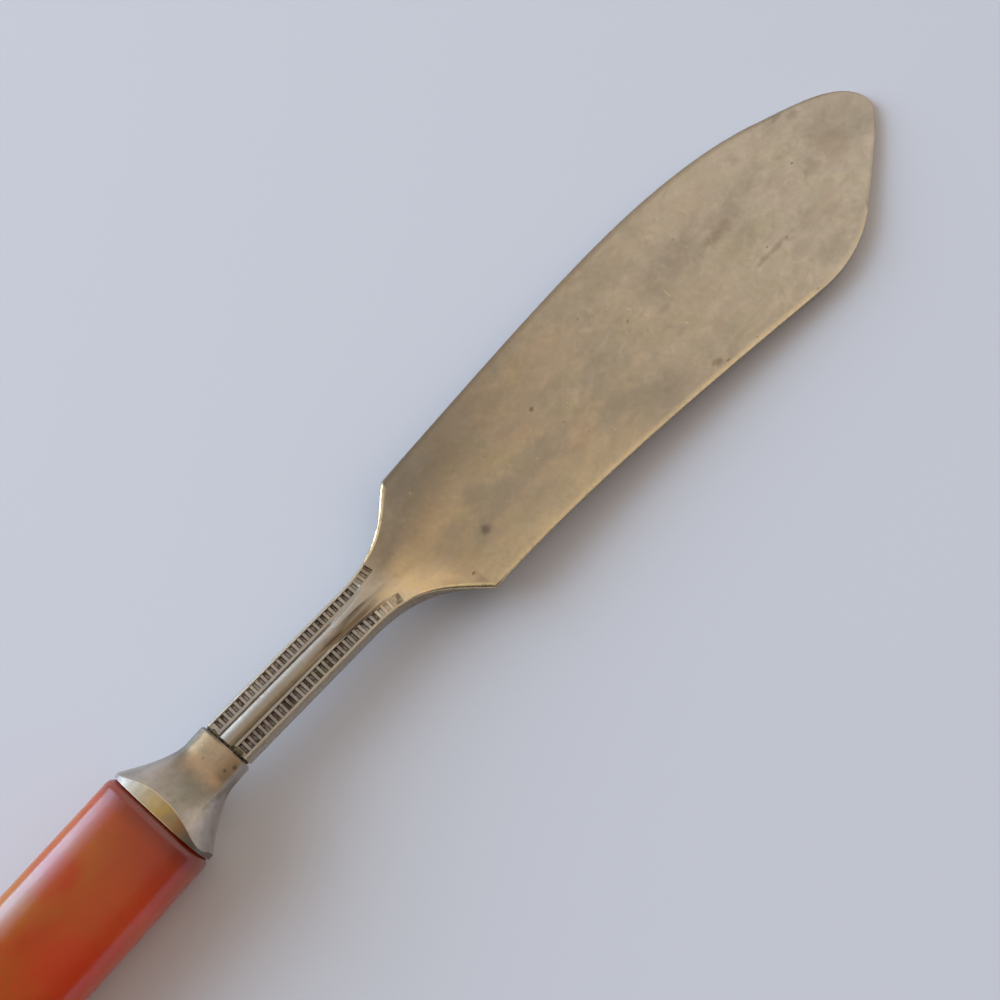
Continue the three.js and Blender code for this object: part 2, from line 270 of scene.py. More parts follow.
# Directions between which the room's light changes, along X and Y
BEYOND_TIP = (-0.2, 0.5)
FAR_BEHIND = (-0.06, -0.16)
AWAY_FROM_WINDOW = (-0.3, -0.8)
FLOOR_DROP = 0.02 * MM

# Edges sharper than this aren't smoothed, and points closer than this are one
SHARP_FROM = radians(38)
MERGE_WITHIN = 0.001 * MM


def size(name, description, millimetres):
    return FloatProperty(
        name=name, description=description, default=millimetres * MM, unit="LENGTH", precision=5
    )


def number(name, description, default):
    return FloatProperty(name=name, description=description, default=default)


def bearing(name, description, degrees):
    return FloatProperty(name=name, description=description, default=radians(degrees), subtype="ANGLE")


def colour(name, description, *rgb):
    return FloatVectorProperty(
        name=name, description=description, default=(*rgb, 1), size=4, subtype="COLOR", min=0, max=1
    )


class BladeSettings(bpy.types.PropertyGroup):
    shank_width: size("Shank width", "Width of the shank across its upper face", 5.32)
    shank_thickness: size("Shank thickness", "Thickness of the shank", 3.3)
    plate_thickness: size("Plate thickness", "Thickness of the blade at the back of its root", 1.7)
    edge_thickness: size("Edge thickness", "Thickness along the cutting edge", 0.8)
    tip_thickness: size("Tip thickness", "Thickness at the tip", 0.8)
    slot_count: IntProperty(name="Slots", description="Milled slots along one side", default=30, min=1)
    slot_pitch: size("Slot pitch", "Distance from slot to slot", 0.74)
    slot_width: size("Slot width", "Width of a milled slot", 0.44)
    slot_length: size("Slot length", "Length of a slot towards the back", 1)
    edge_slot_length: size("Edge slot length", "Length of a slot towards the cutting edge", 1.26)
    slot_depth: size("Slot depth", "Depth of a milled slot", 0.3)
    slot_draft: size("Slot draft", "How far a slot narrows on each side down to its floor", 0.1)
    land_depth: size("Land depth", "How far the bars between the slots lie under the face", 0.08)
    band_rim: size("Band rim", "Plain rim outside the slots towards the back", 0.345)
    edge_rim: size("Edge rim", "Plain rim outside the slots towards the cutting edge", 0.26)
    rib_width: size("Rib width", "Width of the half-round rib", 1.7)
    rib_rise: size("Rib rise", "Height of the rib over the face", 0.45)
    groove_width: size("Groove width", "Width of the groove beside the rib, towards the back", 0.22)
    groove_depth: size("Groove depth", "Depth of that groove", 0.2)
    shank_rounding: size("Shank rounding", "Radius of the shank's edge towards the cutting edge", 0.08)
    back_rounding: size("Back rounding", "Radius of the shank's edge towards the back", 0.3)
    flare_rounding: size("Flare rounding", "Radius of the edges where the shank widens", 0.36)
    plate_rounding: size("Plate rounding", "Radius round the blade", 0.15)
    set_angle: bearing("Set", "Turn of the blade towards its cutting edge", 1.9)
    tang_width: size("Tang width", "Width of the tang at the shoulder", 3.2)
    tang_end_width: size("Tang end width", "Width of the tang at its end", 2)
    tang_thickness: size("Tang thickness", "Thickness of the tang", 2.2)
    satin: number("Satin", "Roughness of the plate", 0.31)
    shank_tone: colour("Shank tone", "Plate on the shank", 0.56, 0.51, 0.47)
    # Partly a painted highlight: the golden tongue where the rib runs out.
    tongue_brass_and_highlight_tone: colour("Tongue tone", "Bare brass where the rib runs out", 0.6, 0.445, 0.27)
    root_tone: colour("Root tone", "Worn plate at the root", 0.49, 0.37, 0.245)
    middle_tone: colour("Middle tone", "Worn plate half way along", 0.45, 0.38, 0.305)
    tip_tone: colour("Tip tone", "Plate near the tip", 0.49, 0.45, 0.41)
    # Painted shade: on the blade this dark tone goes on the shank's side walls and the back of the root.
    whole_plate_and_shade_tone: colour("Whole tone", "Tarnished plate that is hardly rubbed", 0.26, 0.215, 0.17)
    dull_tone: colour("Dull tone", "Tarnished patches", 0.28, 0.255, 0.225)
    # On the upper edges this bright tone is also a painted highlight.
    bright_metal_and_highlight_tone: colour("Bright tone", "Bare metal on edges and nicks", 0.85, 0.68, 0.43)
    # Also darkens the edges, the rib's top and its flank.
    grime: colour("Grime", "Dirt in slots and stains", 0.13, 0.083, 0.055)


class CollarSettings(bpy.types.PropertyGroup):
    inset: size("Inset", "How far the rim stands back from the handle's sides", 0.25)
    neck_width: size("Neck width", "Width of the neck", 6.1)
    neck_thickness: size("Neck thickness", "Thickness of the neck", 5)
    neck_length: size("Neck length", "Length of the straight neck", 2.6)
    side_facet: size("Side facet", "Width of the facets on the narrow sides", 0.7)
    face_facet: size("Face facet", "Width of the facets on the broad faces", 1.7)
    wall: size("Wall", "Thickness of the shell", 0.6)
    neck_rounding: size("Neck rounding", "Radius of the neck's front edge", 0.25)
    # The worn strip is also a painted highlight.
    crease: size("Crease", "Width of the worn strip along the facets' crease", 0.07)
    hole_width: size("Hole width", "Width of the hole for the tang", 3.4)
    hole_thickness: size("Hole thickness", "Height of the hole for the tang", 2.4)
    flare_power: number("Flare power", "How late the horn opens", 1.45)
    neck_squareness: number("Neck squareness", "2 is an ellipse", 3.4)
    rim_squareness: number("Rim squareness", "2 is an ellipse", 2.27)
    cut_squareness: number("Cut squareness", "Of the section that the rim is ground to", 3.3)
    satin: number("Satin", "Roughness of the plate", 0.5)
    neck_tone: colour("Neck tone", "Worn plate on the neck", 0.53, 0.36, 0.222)
    flare_tone: colour("Flare tone", "Plate on the flare", 0.265, 0.243, 0.215)
    facet_light: colour("Facet light", "Plate on the facet, towards the back", 0.48, 0.42, 0.41)
    facet_tan: colour("Facet tan", "Worn plate on the facet", 0.55, 0.42, 0.29)
    facet_gold: colour("Facet gold", "Bare brass on the facet", 0.6, 0.36, 0.11)
    # Partly tarnish, partly painted shade: the facet grows darker towards the cutting edge, away from the
    # lamp.
    facet_tarnish_and_shade: colour("Facet dark", "Tarnished brass, towards the cutting edge", 0.41, 0.205, 0.084)
    facet_end: colour("Facet end", "Dull plate at the facet's end", 0.24, 0.205, 0.17)
    whole_plate_and_shade_tone: colour("Whole tone", "Plate that is hardly rubbed", 0.54, 0.49, 0.48)
    dull_tone: colour("Dull tone", "Tarnished patches", 0.22, 0.2, 0.165)
    bright_metal_and_highlight_tone: colour("Bright tone", "Bare metal on edges and nicks", 0.95, 0.82, 0.58)
    # Also the painted shade on the neck towards the back.
    grime: colour("Grime", "Dirt in pits", 0.085, 0.065, 0.04)


class HandleSettings(bpy.types.PropertyGroup):
    squareness: number("Squareness", "Of the section; 2 is an ellipse", 2.9)
    front_rounding: size("Front rounding", "Radius of the edge at the collar", 1)
    butt_rounding: size("Butt rounding", "Radius of the edge at the butt", 2.5)
    bore_width: size("Bore width", "Width of the hole for the tang", 5.2)
    bore_thickness: size("Bore thickness", "Height of the hole for the tang", 4.2)
    bore_depth: size("Bore depth", "Depth of the hole for the tang", 49.5)
    glow_depth: size("Glow depth", "How deep red light goes into the resin", 8)
    amber: colour("Amber", "Resin towards the back of the blade", 0.4, 0.13, 0.008)
    ember: colour("Ember", "Resin along the middle", 0.44, 0.074, 0.003)
    # Partly a painted glow: brighter red than the resin, as if lit through from the lamp's side.
    garnet_glow: colour("Garnet", "Resin towards the cutting edge", 0.6, 0.08, 0.004)
    cloud_tint: colour("Cloud tint", "Tint of the red clouds", 1, 0.68, 0.7)
    flush: colour("Flush", "Redder resin towards the collar", 0.36, 0.048, 0.006)
    sheen: colour("Sheen", "Tint of the polish", 0.5, 0.78, 1)
    shade: colour("Shade", "Dark red at the collar", 0.24, 0.034, 0.01)


class SolderSettings(bpy.types.PropertyGroup):
    squareness: number("Squareness", "Of the bead's section; 2 is an ellipse", 3.4)
    bulge: size("Bulge", "How far the bead swells out between shank and collar", 0.14)
    lumps: size("Lumps", "How uneven the bead is", 0.22)
    lump_size: size("Lump size", "Width of one lump", 0.8)
    creep: size("Creep", "How far the bead creeps out over the shank", 0.4)
    hole_width: size("Hole width", "Width of the hole for the tang", 3.2)
    hole_thickness: size("Hole thickness", "Height of the hole for the tang", 2.2)
    crust: colour("Crust", "Dark oxide", 0.032, 0.028, 0.02)
    scale: colour("Scale", "Lighter oxide", 0.21, 0.165, 0.085)


class FillingSettings(bpy.types.PropertyGroup):
    cement_dark: colour("Cement dark", "Dark grains of the cement", 0.07, 0.048, 0.03)
    cement_light: colour("Cement light", "Light grains of the cement", 0.15, 0.11, 0.075)
    filler_dark: colour("Filler dark", "Dark grains of the collar's filler", 0.1, 0.08, 0.05)
    filler_light: colour("Filler light", "Light grains of the collar's filler", 0.2, 0.165, 0.11)


class StageSettings(bpy.types.PropertyGroup):
    floor_colour: colour("Floor", "Pale floor", 0.67, 0.65, 0.71)
    floor_size: size("Floor size", "Side of the square floor", 8000)
    window_colour: colour("Window", "Colour of the soft lamp", 0.62, 0.82, 1)
    window_radiance: number("Window radiance", "Brightness of the soft lamp", 7.6)
    window_distance: size("Window distance", "From the knife to the lamp", 1600)
    window_azimuth: bearing("Window azimuth", "Direction of the lamp from +X", 120.5)
    window_spread: bearing("Window spread", "Width of the lamp as an angle", 59)
    dim_side: colour("Dim side", "Room light from behind the handle", 0.25, 0.23, 0.205)
    bright_side: colour("Bright side", "Room light from beyond the tip", 0.97, 0.87, 0.72)
    far_side: colour("Far side", "Room light from far behind the handle", 0.11, 0.1, 0.09)
    shady_side: colour("Shady side", "Room light from the side away from the lamp", 0.1, 0.09, 0.08)
    camera_from_front: FloatVectorProperty(
        name="Camera",
        description="From the handle's front at floor level",
        default=(0.00955, -0.0356, 0.155144),
    )
    camera_pitch: bearing("Pitch", "Camera angle below the horizon", 72)
    camera_heading: bearing("Heading", "Camera direction from +X", 40.5)
    camera_lens: number("Lens", "Focal length for a 36 mm sensor", 54)


def lerp(a, b, share):
    return a + (b - a) * share


def clamp(value, low, high):
    return max(low, min(high, value))


def smoothstep(value, start, end):
    """0 at the start to 1 at the end; the end may lie below the start."""
    share = clamp((value - start) / (end - start), 0, 1)
    return share * share * (3 - 2 * share)


# Mesh helpers


def new_object(name, build, material):
    """A new object whose mesh build() fills."""
    bm = bmesh.new()
    build(bm)
    mesh = bpy.data.meshes.new(name)
    bm.to_mesh(mesh)
    bm.free()
    mesh.materials.append(material)
    made = bpy.data.objects.new(name, mesh)
    bpy.context.scene.collection.objects.link(made)
    return made


def make_piece(name, build, material, node):
    """A smooth object with sharp edges, standing for a node of the frame."""
    piece = new_object(name, build, material)
    piece.data.shade_smooth()
    piece.data.set_sharp_from_angle(angle=SHARP_FROM)
    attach(piece, "root")
    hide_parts(node)


def everything(bm):
    return [*bm.verts, *bm.edges, *bm.faces]


def open_edges(bm):
    return [edge for edge in bm.edges if edge.is_boundary]


def extrude_loop(bm, edges, place):
    """Extrudes a loop of edges and moves each new vertex to place(vertex); returns the new loop."""
    made = bmesh.ops.extrude_edge_only(bm, edges=edges)["geom"]
    verts = {item for item in made if isinstance(item, bmesh.types.BMVert)}
    for vert in verts:
        vert.co = place(vert.co)
    return [item for item in made if isinstance(item, bmesh.types.BMEdge) and set(item.verts) <= verts]


def into_rectangle(x, width, thickness):
    """A place() that pulls a loop in to a rectangle round the knife's axis."""

    def place(co):
        y = clamp(co.y, FRONT.y - width / 2, FRONT.y + width / 2)
        z = clamp(co.z, FRONT.z - thickness / 2, FRONT.z + thickness / 2)
        return Vector((x, y, z))

    return place


def merge(bm):
    bmesh.ops.remove_doubles(bm, verts=bm.verts, dist=MERGE_WITHIN)


def weld(bm):
    merge(bm)
    bmesh.ops.recalc_face_normals(bm, faces=bm.faces)


# Blade, shank and tang


def side_stretches(points, curves, settings):
    """One long side of the forging as five runs of points: band, flare, back, sweep and nose."""
    half = settings.shank_width / 2 * (1 if points["root"][1] > 0 else -1)

    def spot(name):
        along, across = points[name]
        start = SHANK_LENGTH if name == "root" else REACH
        return Vector((start + along * MM, across * MM))

    def curve(start, end, name):
        leave, arrive = (Vector(offset) * MM for offset in curves[name])
        return interpolate_bezier(start, start + leave, end - arrive, end, CURVE_POINTS)

    flare_from = Vector((FLARE_FROM, half))
    shank = [Vector((-BEHIND_SHOULDER, half)), *curve(flare_from, spot("root"), "flare")]
    band, flare = split_run(shank, BEHIND_SHOULDER + band_length(settings))
    return [
        band,
        flare,
        curve(spot("root"), spot("belly"), "back"),
        curve(spot("belly"), spot("point"), "sweep"),
        curve(spot("point"), spot("tip"), "nose"),
    ]


def band_length(settings):
    land = settings.slot_pitch - settings.slot_width
    return settings.slot_count * settings.slot_pitch + settings.slot_width / 2 + land / 2


def split_run(points, length):
    """Cuts a run of points in two at a length along it."""
    cut = [points[0]]
    for index, point in enumerate(points[1:], 1):
        step = (point - cut[-1]).length
        if step > length:
            middle = cut[-1].lerp(point, length / step)
            return [*cut, middle], [middle, *points[index:]]
        length -= step
        cut.append(point)
    raise ValueError("the run is shorter than the cut")


def along_run(points, share):
    """The point at a share of a run's length."""
    if share == 1:
        return points[-1].copy()
    length = sum((b - a).length for a, b in zip(points, points[1:]))
    return split_run(points, share * length)[0][-1]


def row_shares(settings):
    """(stretch, share of it) for each row of the blade's mesh; the band has a row at each slot's wall."""
    whole = BEHIND_SHOULDER + band_length(settings)
    rows = [(BAND, 0)]
    for slot in range(1, settings.slot_count + 1):
        at = BEHIND_SHOULDER + slot * settings.slot_pitch
        rows += [(BAND, (at + wall * settings.slot_width / 2) / whole) for wall in (-1, 1)]
    for stretch, count in STRETCH_ROWS.items():
        rows += [(stretch, step / count) for step in range(count)]
    return [*rows, (NOSE, 1)]


def inward_normals(points, other):
    """Directions in from an outline's points to the other side's, with the tip shared by both sides."""
    ahead = [*points[1:], other[-2]]
    before = [2 * points[0] - points[1], *points[:-1]]
    turn = -1 if points[0].y > 0 else 1
    normals = []
    for point, following, preceding in zip(points, ahead, before):
        tangent = (following - point).normalized() + (point - preceding).normalized()
        normals.append(Vector((-tangent.y, tangent.x)).normalized() * turn)
    return normals


def scoop_bounds(offset):
    """Where the hollow between shank and blade begins and ends, at a distance from the middle line."""
    for (low, *before), (high, *after) in zip(SCOOP, SCOOP[1:]):
        if offset <= high * MM:
            share = clamp((offset / MM - low) / (high - low), 0, 1)
            return [lerp(a, b, share) * MM for a, b in zip(before, after)]
    return [x * MM for x in SCOOP[-1][1:]]


def scooped(x, offset):
    """How far the forging has thinned from shank to blade, from 0 to 1: soon at first, then gently."""
    start, end = scoop_bounds(offset)
    return 1 - (1 - clamp((x - start) / (end - start), 0, 1)) ** 2


class BladeSurface:
    """The forging's upper face, before it is turned and leant, as rows along it and lines across it."""

    def __init__(self, settings):
        self.settings = settings
        self.rows = row_shares(settings)
        outlines = []
        for points, curves in ((EDGE_POINTS, EDGE_CURVES), (SPINE_POINTS, SPINE_CURVES)):
            runs = side_stretches(points, curves, settings)
            outlines.append([along_run(runs[stretch], share) for stretch, share in self.rows])
        self.outlines = outlines
        self.normals = [inward_normals(*outlines), inward_normals(*reversed(outlines))]
        rib = settings.rib_width / 2
        # Distances from the shank's middle line: across a groove, then up the rib
        self.offsets = [rib + settings.groove_width * share for share in GROOVE_SHARES]
        self.offsets += [rib * share for share in RIB_SHARES]
        self.half_lines = ROUNDING_STEPS + 1 + 2 + len(self.offsets)
        self.lines = 2 * self.half_lines + 1

    def rounding(self, row, spine):
        """Radius of the upper edge at a row, on one side."""
        s = self.settings
        at = sum(self.rows[row])
        shank = s.back_rounding if spine else s.shank_rounding
        flare = lerp(shank, s.flare_rounding, smoothstep(at, *FLARE_ROUNDS))
        return lerp(flare, s.plate_rounding, smoothstep(at, *PLATE_ROUNDS))

    def half_thickness(self, x, offset, across):
        """Half the thickness at a spot; across is 0 at the cutting edge and 1 at the back."""
        s = self.settings
        to_tip = clamp((x - SHANK_LENGTH) / BLADE_LENGTH, 0, 1)
        plate = lerp(s.plate_thickness, s.tip_thickness, to_tip)
        ground = lerp(s.edge_thickness, plate, 1 - (1 - across) ** 2)
        return lerp(s.shank_thickness, ground, scooped(x, offset)) / 2

    def relief(self, x, offset):
        """Height of the rib over the shank's face, and depth of the groove beside it."""
        s = self.settings
        rib = s.rib_width / 2
        aside = abs(offset)
        from_start = x - scoop_bounds(offset)[0]
        if aside < rib:
            return s.rib_rise * smoothstep(from_start, *RIB_FADE) * sqrt(1 - (aside / rib) ** 2)
        if offset < 0:
            return 0
        share = clamp((aside - rib) / s.groove_width, 0, 1)
        return -s.groove_depth * smoothstep(from_start, *GROOVE_FADE) * sqrt(1 - (2 * share - 1) ** 2)

    def rib_wear(self, x, offset):
        """How worn the rib is and how much darker it is made, at a distance from the middle line."""
        aside = offset / self.settings.rib_width
        if abs(aside) > FLANK_ENDS:
            return 0, 0
        fade = smoothstep(x, *RIB_WEAR_FADES)
        flank = fade * smoothstep(-aside, *FLANK_BEGINS)
        flank_darkening = lerp(*FLANK_DARKENING, smoothstep(x, *FLANK_DARKENING_GROWS))
        return FLANK_WEAR * flank, max(RIB_DARKENING * fade, flank_darkening * flank)

    def place(self, row, line):
        """A crossing's place, its wear and dirt, and its share of the way from cutting edge to back."""
        s = self.settings
        spine = line > self.half_lines
        step = self.lines - 1 - line if spine else line
        outline = self.outlines[spine][row]
        inward = self.normals[spine][row]
        middle = (self.outlines[0][row] + self.outlines[1][row]) / 2
        radius = self.rounding(row, spine)
        drop = share = relief = worn_and_lit = darkened = 0
        if step <= ROUNDING_STEPS:
            angle = step / ROUNDING_STEPS * pi / 2
            spot = outline + inward * radius * (1 - cos(angle))
            drop = radius * (1 - sin(angle))
        else:
            inner = step - ROUNDING_STEPS - 1
            rounded = outline + inward * radius
            share = 0.5 if line == self.half_lines else BLADE_SHARES[inner]
            on_blade = rounded.lerp(middle, 2 * share)
            if inner < 2:
                rim, length = (s.band_rim, s.slot_length) if spine else (s.edge_rim, s.edge_slot_length)
                on_shank = outline + inward * (rim + inner * length)
                spread_from = BANDS_SPREAD_FROM
            else:
                offset = 0 if line == self.half_lines else self.offsets[inner - 2]
                offset = offset if spine else -offset
                on_shank = middle + Vector((0, offset))
                spread_from = RIB_SPREADS_FROM
                relief = self.relief(outline.x, offset)
                worn_and_lit, darkened = self.rib_wear(outline.x, offset)
            spot = on_shank.lerp(on_blade, smoothstep(outline.x, spread_from, SHANK_LENGTH))
        across = 1 - share if spine else share
        height = self.half_thickness(spot.x, spot.y - middle.y, across) - drop + relief
        return Vector((*spot, height)), worn_and_lit, darkened, across


def bare_brass(along, across):
    """How far the face is worn to the brass: beside the cutting edge, and where the rib runs out, which is
    also a painted highlight.
    """
    edge = BARE_EDGE * smoothstep(across, *BARE_EDGE_ACROSS) * smoothstep(along, *BARE_EDGE_FADES)
    tongue = TONGUE_BRASS_AND_HIGHLIGHT * smoothstep(across, *TONGUE_ACROSS) * smoothstep(along, *TONGUE_BEGINS)
    return max(edge * (along > SHANK_LENGTH / MM), tongue * smoothstep(along, *TONGUE_FADES))


def painted_root_shade(along, across):
    """How far painted shade darkens the face: towards the back of the blade's root, in its hollow."""
    begun = smoothstep(across, *ROOT_SHADE_ACROSS) * smoothstep(along, *ROOT_SHADE_BEGINS)
    return begun * smoothstep(along, *ROOT_SHADE_FADES)


def forge_blade(bm, settings):
    surface = BladeSurface(settings)
    band, slots = lay_face(bm, surface)
    mill_bands(bm, settings, band, slots)
    close_forging(bm, settings)
    draw_tang(bm, settings)


def lay_face(bm, surface):
    """The upper face with its wear and dirt; returns the bands' faces and, among them, the slots'."""
    last_row, last_line = len(surface.rows) - 1, surface.lines - 1
    bmesh.ops.create_grid(bm, x_segments=last_row, y_segments=last_line, size=1)
    grime_and_shade = bm.verts.layers.float.new("grime_and_shade")
    wear_and_highlight = bm.verts.layers.float.new("wear_and_highlight")
    rub_and_shade = bm.verts.layers.float.new("rub_and_shade")
    soil = bm.faces.layers.float.new("soil")

    def cell(co):
        return (co.x + 1) / 2 * last_row, (co.y + 1) / 2 * last_line

    band, slots = [], []
    for face in bm.faces:
        row, line = (int(place) for place in cell(face.calc_center_median()))
        on_band = row < 2 * surface.settings.slot_count
        if on_band and min(line, last_line - 1 - line) == ROUNDING_STEPS + 1:
            band.append(face)
            face[soil] = BAR_SOIL[line > surface.half_lines]
            if row % 2:
                slots.append(face)
    for vert in bm.verts:
        row, line = (round(place) for place in cell(vert.co))
        vert.co, worn_and_lit, darkened, across = surface.place(row, line)
        along = vert.co.x / MM
        to_edge = min(line, last_line - line)
        stretch = surface.rows[row][0]
        if to_edge <= ROUNDING_STEPS:
            side = line > surface.half_lines
            # Painted highlight on the worn edges; below 0 the edges are darkened, partly tarnish and partly
            # painted shade.
            worn_and_lit = EDGE_WEAR_AND_HIGHLIGHT[stretch][side]
            if to_edge == 0:
                worn_and_lit = min(worn_and_lit, WALL_WEAR_AND_HIGHLIGHT[side])
            darkened = -worn_and_lit
        else:
            worn_and_lit = max(worn_and_lit, bare_brass(along, across))
        vert[wear_and_highlight] = max(0, worn_and_lit)
        vert[grime_and_shade] = max(0, darkened)
        # Painted shade: the band's and the flare's side walls, and the back of the root, take the dark whole
        # tone.
        vert[rub_and_shade] = 0 if to_edge == 0 and stretch < BACK else 1 - painted_root_shade(along, across)
    bm.normal_update()
    return band, slots


def mill_bands(bm, settings, band, slots):
    """Sinks the bars between the slots a little and the slots deeper, and dirties them."""
    soil = bm.faces.layers.float["soil"]
    band_end = band_length(settings)
    below_bars = settings.slot_depth - settings.land_depth

    def run_out(x):
        return smoothstep(x, band_end - BAND_RUN_OUT, band_end)

    draft = settings.slot_draft
    walls = bmesh.ops.inset_region(
        bm, faces=band, thickness=draft / 2, depth=-settings.land_depth, use_boundary=True
    )["faces"]
    for vert in {vert for face in band for vert in face.verts}:
        vert.co.z += run_out(vert.co.x) * settings.land_depth
    walls += bmesh.ops.inset_individual(
        bm, faces=slots, thickness=draft, depth=-below_bars, use_even_offset=True
    )["faces"]
    # The walls at the slots' outer ends lie within one and a half drafts of the rim
    outer = settings.shank_width / 2 - settings.band_rim - 1.5 * draft
    for face in walls:
        face[soil] = OUTER_WALL_SOIL if face.calc_center_median().y > outer else WALL_SOIL
    for face in slots:
        middle = face.calc_center_median()
        face[soil] = SLOT_SOIL[middle.y > 0]
        for vert in face.verts:
            vert.co.z += RUN_OUT_RISE * run_out(middle.x) * below_bars
    for face in {*walls, *band}:
        middle = face.calc_center_median()
        uneven = SOIL_UNEVENNESS * noise.noise(middle / SOIL_PATCH)
        face[soil] = max(0, face[soil] * (1 - RUN_OUT_CLEANING * run_out(middle.x)) + uneven)


def close_forging(bm, settings):
    """Copies the face to the underside, joins the two, and leans and turns the forging."""
    bmesh.ops.mirror(bm, geom=everything(bm), merge_dist=-1, axis="Z")
    merge(bm)
    bmesh.ops.bridge_loops(bm, edges=open_edges(bm))
    bmesh.ops.recalc_face_normals(bm, faces=bm.faces)
    lean = (HANDLE_SIZE.z - settings.tip_thickness) / 2 / REACH
    leaning = Matrix(((1, 0, 0, 0), (0, 1, 0, 0), (-lean, 0, 1, 0), (0, 0, 0, 1)))
    turning = Matrix.Rotation(-settings.set_angle, 4, "Z")
    bmesh.ops.transform(bm, verts=bm.verts, matrix=Matrix.Translation(SHOULDER) @ leaning @ turning)


def draw_tang(bm, settings):
    """Cuts the forging off square at the shoulder and draws the tang out of the cut."""
    bmesh.ops.bisect_plane(bm, geom=everything(bm), plane_co=SHOULDER, plane_no=(1, 0, 0), clear_inner=True)
    tang = open_edges(bm)
    for x, width in (
        (SHOULDER.x, settings.tang_width),
        (FRONT.x, settings.tang_width),
        (TANG_END, settings.tang_end_width),
    ):
        tang = extrude_loop(bm, tang, into_rectangle(x, width, settings.tang_thickness))
    bmesh.ops.contextual_create(bm, geom=tang)
    weld(bm)


# Collar


def signed_power(value, power):
    return (1 if value > 0 else -1) * abs(value) ** power


def squared_oval(x, half_y, half_z, squareness):
    """A section across the knife, as a place for each angle."""

    def place(angle):
        y = half_y * signed_power(cos(angle), 2 / squareness)
        z = half_z * signed_power(sin(angle), 2 / squareness)
        return Vector((x, FRONT.y + y, FRONT.z + z))

    return place


def sweep(bm, sides, sections):
    """A tube through sections with the same angles, open at both ends."""
    turn = bm.verts.layers.float.new("turn")
    bmesh.ops.create_circle(bm, segments=sides, radius=1)
    for vert in bm.verts:
        vert[turn] = atan2(vert.co.y, vert.co.x) + pi / sides
    ring = list(bm.edges)
    for index, section in enumerate(sections):
        if index:
            ring = extrude_loop(bm, ring, lambda co: co)
        for vert in {vert for edge in ring for vert in edge.verts}:
            vert.co = section(vert[turn])
    bm.verts.layers.float.remove(turn)


def horn_section(settings, station):
    """Section of the horn, which opens and grows rounder towards the handle."""
    start = COLLAR_LENGTH - settings.neck_length
    opened = max(0, start - station)

    def grow(neck, whole, facet):
        rim = whole - 2 * settings.inset
        return lerp(neck, rim, (opened / (start - facet)) ** settings.flare_power) / 2

    to_end = max(0, station - (COLLAR_LENGTH - settings.neck_rounding))
    drawn_in = settings.neck_rounding - sqrt(max(0, settings.neck_rounding**2 - to_end**2))
    half_y = grow(settings.neck_width, HANDLE_SIZE.y, settings.side_facet) - drawn_in
    half_z = grow(settings.neck_thickness, HANDLE_SIZE.z, settings.face_facet) - drawn_in
    squareness = lerp(settings.neck_squareness, settings.rim_squareness, min(1, opened / start))
    return squared_oval(FRONT.x + station, half_y, half_z, squareness)


def trim_planes(inset, squareness):
    """Points and outward directions round the handle's section, to which the horn's rim is ground."""
    half_y = HANDLE_SIZE.y / 2 - inset
    half_z = HANDLE_SIZE.z / 2 - inset
    section = squared_oval(FRONT.x, half_y, half_z, squareness)
    for cut in range(RIM_CUTS):
        point = section((cut + 0.5) / RIM_CUTS * 2 * pi)
        out = point - FRONT
        y = signed_power(out.y / half_y, squareness - 1) / half_y
        z = signed_power(out.z / half_z, squareness - 1) / half_z
        yield point, Vector((0, y, z)).normalized()


def spin_collar(bm, settings):
    rub_and_shade = bm.verts.layers.float.new("rub_and_shade")
    grime_and_shade = bm.verts.layers.float.new("grime_and_shade")
    wear_and_highlight = bm.faces.layers.float.new("wear_and_highlight")
    facet = bm.faces.layers.float.new("facet")
    stations = [COLLAR_LENGTH * step / COLLAR_STEPS for step in range(COLLAR_STEPS + 1)]
    sweep(bm, COLLAR_SIDES, [horn_section(settings, station) for station in stations])
    bmesh.ops.holes_fill(bm, edges=open_edges(bm))
    bmesh.ops.recalc_face_normals(bm, faces=bm.faces)
    for vert in bm.verts:
        on_neck = smoothstep((vert.co.x - FRONT.x) / COLLAR_LENGTH, *NECK_BEGINS)
        slope = abs(vert.normal.z)
        if vert.normal.y > 0:
            vert[rub_and_shade] = smoothstep(slope, *FLARE_RUB)
            # Painted shade on the back of the neck, which dims the lamp's highlight on its corner.
            vert[grime_and_shade] = NECK_PAINTED_SHADE * on_neck * smoothstep(slope, *NECK_SHADE_SLOPES)
        else:
            slopes = (lerp(flare, neck, on_neck) for flare, neck in zip(FLARE_RUB, NECK_RUB))
            vert[rub_and_shade] = smoothstep(slope, *slopes)
    for point, outward in trim_planes(settings.inset, settings.cut_squareness):
        bmesh.ops.bisect_plane(bm, geom=everything(bm), plane_co=point, plane_no=outward, clear_outer=True)
        for face in bmesh.ops.holes_fill(bm, edges=open_edges(bm))["faces"]:
            face[facet] = 1
    ground = [face for face in bm.faces if face[facet]]
    strip = bmesh.ops.inset_region(bm, faces=ground, thickness=settings.crease, use_boundary=True)["faces"]
    for face in strip:
        face[facet] = 1
        aside = abs(face.calc_center_median().y - FRONT.y)
        face[wear_and_highlight] = CREASE_WEAR_AND_HIGHLIGHT * smoothstep(aside, *CREASE_WEAR_FADES)
    ends = [face for face in bm.faces if abs(face.normal.x) > 0.99 and len(face.verts) > 4]
    bmesh.ops.delete(bm, geom=ends, context="FACES_ONLY")
    neck = [edge for edge in open_edges(bm) if edge.verts[0].co.x > FRONT.x + COLLAR_LENGTH / 2]
    hole = into_rectangle(FRONT.x + COLLAR_LENGTH, settings.hole_width, settings.hole_thickness)
    extrude_loop(bm, neck, hole)
    weld(bm)
    bmesh.ops.solidify(bm, geom=bm.faces, thickness=settings.wall)


# Solder seam


